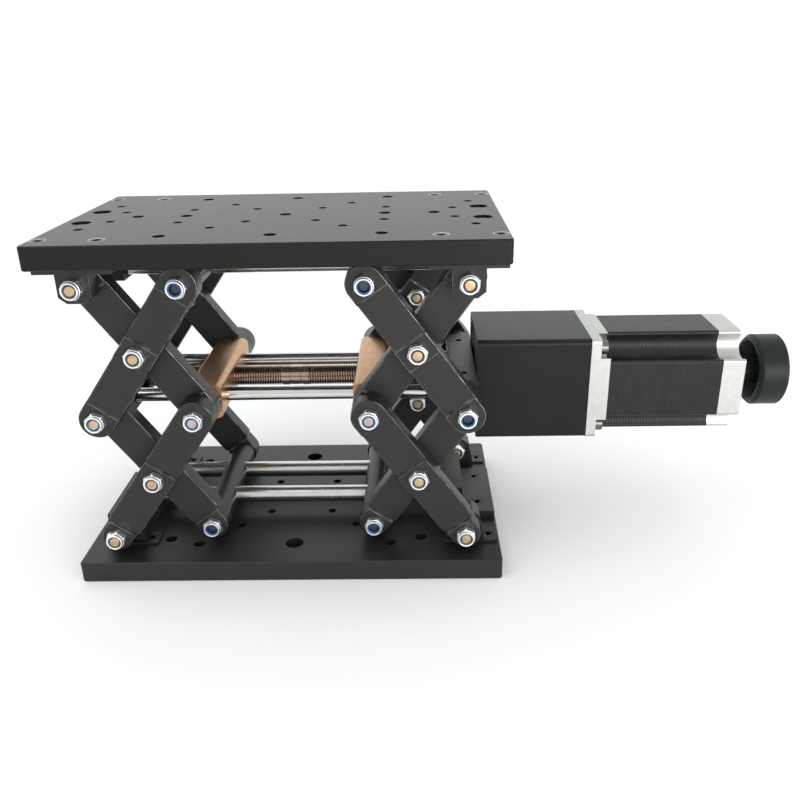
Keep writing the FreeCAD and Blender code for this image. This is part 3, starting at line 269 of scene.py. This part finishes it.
for row in record["subparts"]:
    node = nodes[row["node"]]
    node.data.materials.clear()
    node.data.materials.append(MATERIALS[row["material_slot"]])
nodes["top_plate"].data.materials[0] = PLATE_BLACK
nodes["coupling_housing"].data.materials[0] = HOUSING_BLACK
for name in ("base_rods", "top_rods"):
    nodes[name].data.materials[0] = END_ROD


# The width and angle limit of the bevel that carries the painted edge highlight.
HIGHLIGHT_EDGE_WIDTH = 0.15
WELD_GAP = 0.001
HIGHLIGHT_EDGE_ANGLE = math.radians(25)


def paint_edge_highlights(node):
    """Breaks a part's sharp edges by a hair, with a lighter metal on the broken edges as a painted
    highlight along them.
    """
    node.data.materials.append(EDGE_HIGHLIGHT)
    weld = node.modifiers.new("weld", "WELD")
    weld.merge_threshold = WELD_GAP * MM
    bevel = node.modifiers.new("broken_edges", "BEVEL")
    bevel.width = HIGHLIGHT_EDGE_WIDTH * MM
    bevel.segments = 1
    bevel.limit_method = "ANGLE"
    bevel.angle_limit = HIGHLIGHT_EDGE_ANGLE
    bevel.material = len(node.data.materials) - 1
    weighted = node.modifiers.new("weighted_normals", "WEIGHTED_NORMAL")
    weighted.keep_sharp = False


# The plates' edges are already broken in the CAD, and the plates get no painted edge highlight, so their
# hole rims stay dark.
for row in record["subparts"]:
    if row["material_slot"] == "black_anodised" and not row["node"].endswith("_plate"):
        paint_edge_highlights(nodes[row["node"]])


# ------------------------------------------------------------------ mesh helpers

MERGE_DISTANCE = 1e-7
SHARP_ANGLE = math.radians(30)


def axis_frame(at, direction, turn=0.0):
    """A matrix whose Z runs along a direction from a point, turned about it."""
    rotation = Vector(direction).to_track_quat("Z", "Y").to_matrix().to_4x4()
    return Matrix.Translation(at) @ rotation @ Matrix.Rotation(turn, 4, "Z")


def flat_limit(angle, flat):
    """The distance from a hexagon's middle to its side at an angle."""
    sixth = math.pi / 3
    return flat / math.cos((angle + sixth / 2) % sixth - sixth / 2)


def add_turned(bm, place, profile, material=0, steps=36, closed=False):
    """Turns a profile of (along, radius) or (along, radius, flat) in mm round a place's Z.

    A flat holds its ring inside a hexagon.
    """
    rings = []
    for along, radius, *flat in profile:
        if radius == 0:
            rings.append([bm.verts.new(place @ Vector((0, 0, along * MM)))])
            continue
        ring = []
        for step in range(steps):
            angle = 2 * math.pi * step / steps
            reach = min(radius, flat_limit(angle, flat[0])) if flat else radius
            point = Vector((reach * math.cos(angle), reach * math.sin(angle), along))
            ring.append(bm.verts.new(place @ (point * MM)))
        rings.append(ring)
    pairs = list(zip(rings, rings[1:]))
    if closed:
        pairs.append((rings[-1], rings[0]))
    for first, second in pairs:
        for step in range(steps):
            after = (step + 1) % steps
            if len(first) == 1:
                corners = (first[0], second[step], second[after])
            elif len(second) == 1:
                corners = (first[step], second[0], first[after])
            else:
                corners = (first[step], second[step], second[after], first[after])
            bm.faces.new(corners).material_index = material


def make_piece(name, bm, materials, body, replaced=None):
    """Turns a bmesh into a smooth-shaded piece that rides on a body."""
    bmesh.ops.remove_doubles(bm, verts=bm.verts, dist=MERGE_DISTANCE)
    bmesh.ops.recalc_face_normals(bm, faces=bm.faces)
    mesh = bpy.data.meshes.new(name)
    bm.to_mesh(mesh)
    bm.free()
    for material in materials:
        mesh.materials.append(material)
    mesh.polygons.foreach_set("use_smooth", [True] * len(mesh.polygons))
    mesh.set_sharp_from_angle(angle=SHARP_ANGLE)
    piece = bpy.data.objects.new(name, mesh)
    bpy.context.scene.collection.objects.link(piece)
    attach(piece, body)
    if replaced:
        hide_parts(replaced)
    return piece


# ------------------------------------------------------------------ pivot bolts, studs and lock nuts

HEX_FLAT = 5.0
HEX_CORNER = 5.77
NUT_SEAT_GAP = 0.1
LAYER_GAP = 0.3
PIN_RADIUS = 4.0
THREAD_RADIUS = 2.9
NUT_BORE = 2.95
NUT_STEPS = 48
# A bolt's end that lies lower than this is deep in its nut's shadow, and gets the painted shade of the
# nut's bore instead of its metal.
SEEN_END = 4.0
# How far a nut's bore, painted dark as shade, is seen below its bolt's end or its nylon ring, whichever is
# lower.
BORE_SEEN = 1.2
# A bolt head's turn as a share of its nut's, and the turn added to rear nuts and taken from front ones.
HEAD_TURN = 0.7
REAR_TURN = 0.35
LAYER = {
    "inner": [abs(c[1]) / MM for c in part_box("arm_left_lower_inner_front")],
    "outer": [abs(c[1]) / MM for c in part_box("arm_left_lower_outer_front")],
}
INNER_IN, INNER_OUT = min(LAYER["inner"]), max(LAYER["inner"])
OUTER_OUT = max(LAYER["outer"])
BLOCK_END = INNER_IN - LAYER_GAP

ZINC, END, NYLON, DEEP = range(4)
# How far the bolt's end and the nylon ring's inner face lie above the nut's seat, in mm.
STYLES = {"flush": (5.6, 5.0), "plain": (5.35, 4.8), "deep": (3.3, 4.1)}
# A lock nut's outside and a bolt's head, from their seats outwards.
SHELL = [
    (0.0, 4.9, HEX_FLAT),
    (0.35, HEX_CORNER, HEX_FLAT),
    (3.55, HEX_CORNER, HEX_FLAT),
    (4.3, 5.02, HEX_FLAT),
    (4.4, 4.78),
    (5.3, 4.75),
    (5.7, 4.62),
    (5.93, 4.4),
    (5.99, 4.1),
    (5.9, 3.8),
    (5.65, 3.65),
]
HEAD = [
    (0.0, 5.0),
    (0.3, 5.0),
    (0.31, HEX_CORNER, HEX_FLAT),
    (3.2, HEX_CORNER, HEX_FLAT),
    (3.98, 4.85, HEX_FLAT),
    (3.98, 4.2),
    (3.8, 3.6),
    (3.8, 0.0),
]


def add_nut(bm, place, end_at, nylon_floor):
    """A lock nut: chamfered hexagon, rolled collar, nylon ring, and the end of its bolt inside."""
    nylon = [(5.65, 3.65), (5.6, 3.3), (5.35, 2.98), (nylon_floor, NUT_BORE)]
    bore = [(nylon_floor, NUT_BORE), (min(end_at, nylon_floor) - BORE_SEEN, NUT_BORE)]
    thread = [
        (end_at - 2.0, THREAD_RADIUS),
        (end_at - 0.55, THREAD_RADIUS),
        (end_at - 0.05, 2.45),
        (end_at, 2.2),
        (end_at - 0.12, 0.0),
    ]
    add_turned(bm, place, SHELL, ZINC, NUT_STEPS)
    add_turned(bm, place, nylon, NYLON, NUT_STEPS)
    # The bore, and a bolt end that lies deep, are painted dark as shade.
    add_turned(bm, place, bore, DEEP, NUT_STEPS)
    add_turned(bm, place, thread, END if end_at > SEEN_END else DEEP, NUT_STEPS)


def add_bolt(bm, x, z, sign, style, turn, nut_outboard=True):
    """A bolt through both layers with its head on one side and its nut on the other."""
    inboard = (INNER_IN - NUT_SEAT_GAP) * MM * sign
    outboard = (OUTER_OUT + NUT_SEAT_GAP) * MM * sign
    head_y, nut_y, way = (inboard, outboard, sign) if nut_outboard else (outboard, inboard, -sign)
    length = abs(outboard - inboard) / MM
    pin = [(0, PIN_RADIUS), (length, PIN_RADIUS)]
    add_turned(bm, axis_frame((x, head_y, z), (0, way, 0)), pin, ZINC)
    add_turned(bm, axis_frame((x, head_y, z), (0, -way, 0), turn * HEAD_TURN), HEAD, ZINC, NUT_STEPS)
    add_nut(bm, axis_frame((x, nut_y, z), (0, way, 0), turn), *STYLES[style])


def add_stud(bm, x, z, sign, style, turn, block_end, layer_end):
    """A stud from a cross block's end through an arm, with its nut outside."""
    seat = layer_end + NUT_SEAT_GAP
    pin = [(0, PIN_RADIUS), (seat - block_end, PIN_RADIUS)]
    add_turned(bm, axis_frame((x, block_end * MM * sign, z), (0, sign, 0)), pin, ZINC)
    add_nut(bm, axis_frame((x, seat * MM * sign, z), (0, sign, 0), turn), *STYLES[style])


def pivot_point(joint, side):
    """x and z of a joint's pivot, on the asked side of the middle."""
    x, _, z = joint_at[joint]
    return math.copysign(x, side), z


def make_pivots(name, entries, end, nylon):
    """One node's bolts or studs, in front and behind, in place of that node.

    An entry is (joint, side, style, turn, block end, layer end). A bolt has no block end or layer end, and
    its nut is outboard in front and inboard behind.
    """
    bm = bmesh.new()
    for joint, side, style, turn, block_end, layer_end in entries:
        x, z = pivot_point(joint, side)
        for sign in (-1, 1):
            if block_end is None:
                add_bolt(bm, x, z, sign, style, turn + REAR_TURN * sign, nut_outboard=sign < 0)
            else:
                add_stud(bm, x, z, sign, style, turn + REAR_TURN * sign, block_end, layer_end)
    materials = [MATERIALS["zinc_fastener"], end, nylon, PAINTED_SHADE]
    return make_piece(name + "_detail", bm, materials, body_of[name], name)


LEFT, RIGHT = -1, 1
make_pivots(
    "base_pivot_bolts",
    [
        ("lift", LEFT, "flush", 0.1, None, None),
        ("lift", RIGHT, "flush", 0.4, None, None),
    ],
    BOLT_END,
    GREY_NYLON,
)
make_pivots(
    "top_pivot_bolts",
    [
        ("platform_pivot", LEFT, "flush", 0.75, None, None),
        ("platform_pivot", RIGHT, "flush", 0.25, None, None),
    ],
    BOLT_END,
    GREY_NYLON,
)
make_pivots(
    "mid_pivot_studs",
    [
        ("middle_frame_pivot", LEFT, "flush", 0.55, BLOCK_END, OUTER_OUT),
        ("middle_frame_pivot", RIGHT, "deep", 0.15, BLOCK_END, OUTER_OUT),
    ],
    BOLT_END,
    BLUE_NYLON,
)
for tag, side, shift in (("left", LEFT, 0.0), ("right", RIGHT, 0.45)):
    for level, turn in (("lower", 0.3), ("upper", 0.65)):
        entry = (f"{tag}_{level}_centre_pivot", side, "flush", turn + shift, None, None)
        make_pivots(f"{level}_centre_bolts_{tag}", [entry], BOLT_END, GREY_NYLON)
    entry = (f"{tag}_nut_block_pivot", side, "plain", 0.2 + shift, BLOCK_END, OUTER_OUT)
    make_pivots(f"nut_block_studs_{tag}", [entry], BOLT_END_PLAIN, BLUE_NYLON)
    entry = (f"{tag}_base_slider_pivot", side, "deep", 0.5 + shift, BLOCK_END, INNER_OUT)
    make_pivots(f"base_slider_studs_{tag}", [entry], BOLT_END, BLUE_NYLON)
    entry = (f"{tag}_top_slider_pivot", side, "deep", 0.9 + shift, INNER_OUT, OUTER_OUT)
    make_pivots(f"top_slider_studs_{tag}", [entry], BOLT_END, BLUE_NYLON)


# ------------------------------------------------------------------ socket screws


def socket_head(radius, height, key_flat, key_depth):
    """A cap screw's head with a hexagon socket, from its seat outwards."""
    corner = key_flat / math.cos(math.pi / 6)
    seat_edge, top_edge = 0.2, 0.35
    return [
        (0.0, radius - seat_edge),
        (seat_edge, radius),
        (height - top_edge, radius),
        (height, radius - top_edge),
        (height, corner + 0.25),
        (height - 0.2, corner, key_flat),
        (height - key_depth, corner, key_flat),
        (height - key_depth - 0.3, 0.0),
    ]


SCREW, RIM, SUNK = range(3)
HEAD_STEPS = 36
SHANK_STEPS = 20
GRUB_STEPS = 24


def add_cap_screw(bm, at, direction, head, shank_radius, reach, turn):
    """A socket screw with its head on a seat; direction points out of the head."""
    add_turned(bm, axis_frame(at, direction, turn), head, SCREW, HEAD_STEPS)
    back = [-part for part in direction]
    shank = [(0.0, shank_radius), (reach, shank_radius), (reach + 0.1, 0.0)]
    add_turned(bm, axis_frame(at, back), shank, SCREW, SHANK_STEPS)


def add_screws(bm, places, height, way, screw, turn_step):
    """Equal screws along Z on seats at one height, heads up with way 1 or down with way -1."""
    for number, (x, y) in enumerate(places):
        seat = Vector((x, y, height)) * MM
        add_cap_screw(bm, seat, (0, 0, way), *screw, number * turn_step)


def corners(x, y):
    """The four places at x and y either side of the middle."""
    return [(sx * x, sy * y) for sx in (-1, 1) for sy in (-1, 1)]


UP = (0, 0, 1)
OUTER_X = 99.5
PLATE_THICK = 12.5
BASE_BRACKET_Y = 47.2
BASE_FOOT_Y = 49.5
FOOT_CAP_X = 14.2
BASE_FOOT_RISE = 1.3
TOP_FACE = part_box("top_plate")[1][2] / MM
FOOT_FACE = PLATE_THICK + BASE_FOOT_RISE
TOP_SCREWS = corners(85.5, 61.0) + corners(115.0, 61.0)
SUPPORT_SCREWS = corners(109.6, 16.5)
BASE_SCREWS = corners(OUTER_X, BASE_BRACKET_Y)
FOOT_CAPS = [(sx * OUTER_X + FOOT_CAP_X, sy * BASE_FOOT_Y) for sx in (-1, 1) for sy in (-1, 1)]

# The heights of the screws' seats, in mm.
TOP_BRACKET_SEAT = TOP_FACE - 2.6
TOP_SUPPORT_SEAT = TOP_FACE - 5.2
BASE_BRACKET_SEAT = 5.0
FOOT_CAP_SEAT = FOOT_FACE - 2.4
BASE_SUPPORT_SEAT = PLATE_THICK + 1.6

# Each kind of screw: its head, its shank's radius, and its reach past the seat.
TOP_BRACKET_SCREW = (socket_head(3.35, 2.35, 1.9, 1.6), 2.5, 13.5)
TOP_SUPPORT_SCREW = (socket_head(3.5, 4.0, 1.5, 2.0), 2.0, 11.0)
BASE_BRACKET_SCREW = (socket_head(4.2, 4.0, 2.0, 2.2), 2.5, 13.2)
FOOT_CAP_SCREW = (socket_head(3.4, 2.4, 1.5, 1.4), 2.5, 6.8)
BASE_SUPPORT_SCREW = (socket_head(3.5, 2.4, 1.5, 1.4), 2.0, 9.5)
MOTOR_SCREW = (socket_head(4.2, 4.6, 2.0, 2.2), 2.2, 5.4)

# How much further each screw of a set is turned than the one before, in radians.
TOP_BRACKET_TURN = 0.4
MOTOR_TURN = 0.6
GRUB_TURN = 0.4

# The ring round the head of a top bracket screw, above its seat, in a lighter metal as a painted
# highlight.
RIM_RING = [(1.6, 3.45), (2.4, 3.5), (2.58, 3.65), (2.58, 4.2), (1.6, 4.2)]

bm = bmesh.new()
for number, (x, y) in enumerate(TOP_SCREWS):
    seat = Vector((x, y, TOP_BRACKET_SEAT)) * MM
    add_cap_screw(bm, seat, UP, *TOP_BRACKET_SCREW, number * TOP_BRACKET_TURN)
    add_turned(bm, axis_frame(seat, UP), RIM_RING, RIM, HEAD_STEPS, closed=True)
plate_screw_faces = len(bm.faces)
add_screws(bm, SUPPORT_SCREWS, TOP_SUPPORT_SEAT, 1, TOP_SUPPORT_SCREW, turn_step=0.5)
bm.faces.ensure_lookup_table()
for face in bm.faces[plate_screw_faces:]:
    face.material_index = SUNK
top_screw_metals = [MATERIALS["black_screw"], RIM_HIGHLIGHT, OILED_STEEL]
make_piece("top_screws_detail", bm, top_screw_metals, "platform", "top_screws")

bm = bmesh.new()
add_screws(bm, BASE_SCREWS, BASE_BRACKET_SEAT, -1, BASE_BRACKET_SCREW, turn_step=0.3)
add_screws(bm, FOOT_CAPS, FOOT_CAP_SEAT, 1, FOOT_CAP_SCREW, turn_step=0.4)
add_screws(bm, SUPPORT_SCREWS, BASE_SUPPORT_SEAT, 1, BASE_SUPPORT_SCREW, turn_step=0.5)
make_piece("base_screws_detail", bm, [MATERIALS["black_screw"]], "base", "base_screws")

MID_Z = joint_at["screw_spin"][2] / MM
FLANGE_THICK = 5.5
FLANGE_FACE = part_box("motor_flange")[0][0] / MM + FLANGE_THICK
MOTOR_SCREW_OFFSET = 23.57

bm = bmesh.new()
for number, (y, z) in enumerate(corners(MOTOR_SCREW_OFFSET, MOTOR_SCREW_OFFSET)):
    seat = Vector((FLANGE_FACE, y, MID_Z + z)) * MM
    add_cap_screw(bm, seat, (1, 0, 0), *MOTOR_SCREW, number * MOTOR_TURN)
make_piece("motor_screws_detail", bm, [OILED_STEEL], "middle_frame", "motor_screws")

MID_ROD_Y = 28.5
GRUB_FOOT = 5.6
GRUB = [
    (0.0, 0.0),
    (0.0, 1.9),
    (3.6, 1.9),
    (3.9, 1.6),
    (3.9, 1.2),
    (3.8, 1.15, 1.0),
    (2.2, 1.15, 1.0),
    (2.1, 0.0),
]

bm = bmesh.new()
for number, (x, y) in enumerate(corners(OUTER_X, MID_ROD_Y)):
    foot = Vector((x, y, MID_Z + GRUB_FOOT)) * MM
    add_turned(bm, axis_frame(foot, UP, number * GRUB_TURN), GRUB, SCREW, GRUB_STEPS)
make_piece("rod_grub_screws", bm, [MATERIALS["black_screw"]], "middle_frame")


# ------------------------------------------------------------------ lead screw and its bearings

SCREW_RADIUS = 6.0
ROOT_RADIUS = 5.2
CORE_RADIUS = ROOT_RADIUS - 0.05
PITCH = 1.5
FLANK, ROOT = range(2)
# One turn's profile: (along, radius), with the root's flat first.
THREAD = [
    (0.0, ROOT_RADIUS),
    (0.3, ROOT_RADIUS),
    (0.62, SCREW_RADIUS),
    (1.18, SCREW_RADIUS),
    (PITCH, ROOT_RADIUS),
]
THREAD_STEPS = 32
ROUND_STEPS = 48
THREAD_END = 91.0
TAIL_X, NOSE_X = (corner[0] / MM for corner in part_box("lead_screw"))
JOURNAL_RADIUS = 5.0
JOURNAL_TIP = 4.6
COLLAR_LEFT, COLLAR_RIGHT = -9.0, 8.0
COLLAR_RADIUS = 5.95
BAND_RADIUS = 5.75
GROOVE_RADIUS = 5.3


def add_thread(bm, start, end, hand):
    """A helical thread between two places along X, right-handed with hand 1."""
    turns = int((end - start) / PITCH) + 1
    rows = []
    for step in range(turns * THREAD_STEPS + 1):
        angle = hand * 2 * math.pi * step / THREAD_STEPS
        row = []
        for shift, radius in THREAD:
            x = start + PITCH * (step / THREAD_STEPS - 1) + shift
            x = max(start, min(end, x))
            point = Vector((x, radius * math.cos(angle), MID_Z + radius * math.sin(angle)))
            row.append(bm.verts.new(point * MM))
        rows.append(row)
    for row, after in zip(rows, rows[1:]):
        for index in range(len(THREAD) - 1):
            square = (row[index], row[index + 1], after[index + 1], after[index])
            length = (square[1].co - square[0].co).length + (square[2].co - square[3].co).length
            if length > MERGE_DISTANCE:
                bm.faces.new(square).material_index = ROOT if index == 0 else FLANK


# The screw's solid body inside the threads: tail, core, collar with two grooves, core, nose.
SCREW_BODY = [
    (TAIL_X, 0.0),
    (TAIL_X, JOURNAL_TIP),
    (TAIL_X + 0.4, JOURNAL_RADIUS),
    (-THREAD_END - 0.02, JOURNAL_RADIUS),
    (-THREAD_END, ROOT_RADIUS),
    (-THREAD_END + 0.5, CORE_RADIUS),
    (COLLAR_LEFT - 0.5, CORE_RADIUS),
    (COLLAR_LEFT, ROOT_RADIUS),
    (COLLAR_LEFT + 0.1, BAND_RADIUS),
    (COLLAR_LEFT + 0.4, COLLAR_RADIUS),
    (-3.7, COLLAR_RADIUS),
    (-3.5, GROOVE_RADIUS),
    (-3.1, GROOVE_RADIUS),
    (-2.9, BAND_RADIUS),
    (2.8, BAND_RADIUS),
    (3.0, GROOVE_RADIUS),
    (3.4, GROOVE_RADIUS),
    (3.6, COLLAR_RADIUS),
    (COLLAR_RIGHT - 0.4, COLLAR_RADIUS),
    (COLLAR_RIGHT - 0.1, BAND_RADIUS),
    (COLLAR_RIGHT, ROOT_RADIUS),
    (COLLAR_RIGHT + 0.5, CORE_RADIUS),
    (THREAD_END - 0.5, CORE_RADIUS),
    (THREAD_END, ROOT_RADIUS),
    (THREAD_END + 0.02, JOURNAL_RADIUS),
    (NOSE_X - 0.4, JOURNAL_RADIUS),
    (NOSE_X, JOURNAL_TIP),
    (NOSE_X, 0.0),
]

bm = bmesh.new()
add_thread(bm, -THREAD_END, COLLAR_LEFT, -1)
add_thread(bm, COLLAR_RIGHT, THREAD_END, 1)
add_turned(bm, axis_frame((0, 0, MID_Z * MM), (1, 0, 0)), SCREW_BODY, steps=ROUND_STEPS)
# The thread roots get the darker metal, painted shade in the grooves.
screw_metals = [MATERIALS["screw_steel"], THREAD_ROOT_SHADE]
make_piece("lead_screw_threads", bm, screw_metals, "drive", "lead_screw")

BEARING_WIDTH = 7.0
OUTER_RACE = [
    (0, 7.7),
    (0, 8.8),
    (0.2, 9.0),
    (6.8, 9.0),
    (7, 8.8),
    (7, 7.7),
    (6.7, 7.6),
    (6.7, 7.4),
    (0.3, 7.4),
    (0.3, 7.6),
]
INNER_RACE = [(0, 6.1), (0, 5.2), (0.2, 5.06), (6.8, 5.06), (7, 5.2), (7, 6.1), (6.7, 6.2), (0.3, 6.2)]
SHIELD = [(0.5, 6.25), (0.5, 7.38), (6.5, 7.38), (6.5, 6.25)]

bm = bmesh.new()
for x in (-OUTER_X, OUTER_X):
    race = axis_frame(((x - BEARING_WIDTH / 2) * MM, 0, MID_Z * MM), (1, 0, 0))
    for profile in (OUTER_RACE, INNER_RACE, SHIELD):
        add_turned(bm, race, profile, steps=ROUND_STEPS, closed=True)
bearing_metals = [MATERIALS["screw_steel"]]
make_piece("screw_bearings_detail", bm, bearing_metals, "middle_frame", "screw_bearings")


# ------------------------------------------------------------------ stage and light


FLOOR_REACH = 30.0
FLOOR_GREY = (0.92, 0.92, 0.92)
WORLD_FRONT = (0.72, 0.72, 0.71, 1.0)
WORLD_BACK = (0.96, 1.0, 0.985, 1.0)
WORLD_STRENGTH = 1.3
# Where along Y the world's light starts and stops getting brighter.
RISE_START, RISE_END = -0.7, 0.8


def add_stage():
    """A pale floor and soft light from all round, brighter from behind the jack."""
    bpy.context.scene.view_settings.view_transform = "Standard"
    mesh = bpy.data.meshes.new("floor")
    square = [(sx * FLOOR_REACH, sy * FLOOR_REACH, 0) for sx, sy in ((-1, -1), (1, -1), (1, 1), (-1, 1))]
    mesh.from_pydata(square, [], [(0, 1, 2, 3)])
    floor = bpy.data.objects.new("floor", mesh)
    bpy.context.scene.collection.objects.link(floor)
    paper = Shader("paper_floor", FLOOR_GREY, 0.9, specular=0.1)
    mesh.materials.append(paper.material)
    world = bpy.data.worlds.new("studio")
    bpy.context.scene.world = world
    world.use_nodes = True
    tree = world.node_tree
    background = next(n for n in tree.nodes if n.type == "BACKGROUND")
    direction = tree.nodes.new("ShaderNodeTexCoord").outputs["Generated"]
    split = tree.nodes.new("ShaderNodeSeparateXYZ")
    tree.links.new(direction, split.inputs["Vector"])
    blend = tree.nodes.new("ShaderNodeMapRange")
    blend.inputs["From Min"].default_value = RISE_START
    blend.inputs["From Max"].default_value = RISE_END
    tree.links.new(split.outputs["Y"], blend.inputs["Value"])
    ramp = tree.nodes.new("ShaderNodeValToRGB")
    ramp.color_ramp.elements[0].color = WORLD_FRONT
    ramp.color_ramp.elements[1].color = WORLD_BACK
    tree.links.new(blend.outputs["Result"], ramp.inputs["Fac"])
    tree.links.new(ramp.outputs["Color"], background.inputs["Color"])
    background.inputs["Strength"].default_value = WORLD_STRENGTH


def add_light(name, at, aim, size, power):
    """A square soft box aimed at a point."""
    data = bpy.data.lights.new(name, "AREA")
    data.shape = "SQUARE"
    data.size = size
    data.energy = power
    light = bpy.data.objects.new(name, data)
    light.location = at
    light.rotation_euler = (Vector(aim) - Vector(at)).to_track_quat("-Z", "Y").to_euler()
    bpy.context.scene.collection.objects.link(light)


add_camera()
add_stage()
add_light("key", (-0.6, -0.5, 1.3), (0, 0, 0.1), 0.9, 2.5)
add_light("front_fill", (0.8, -1.4, 0.2), (0.2, 0, 0.12), 1.0, 20.0)
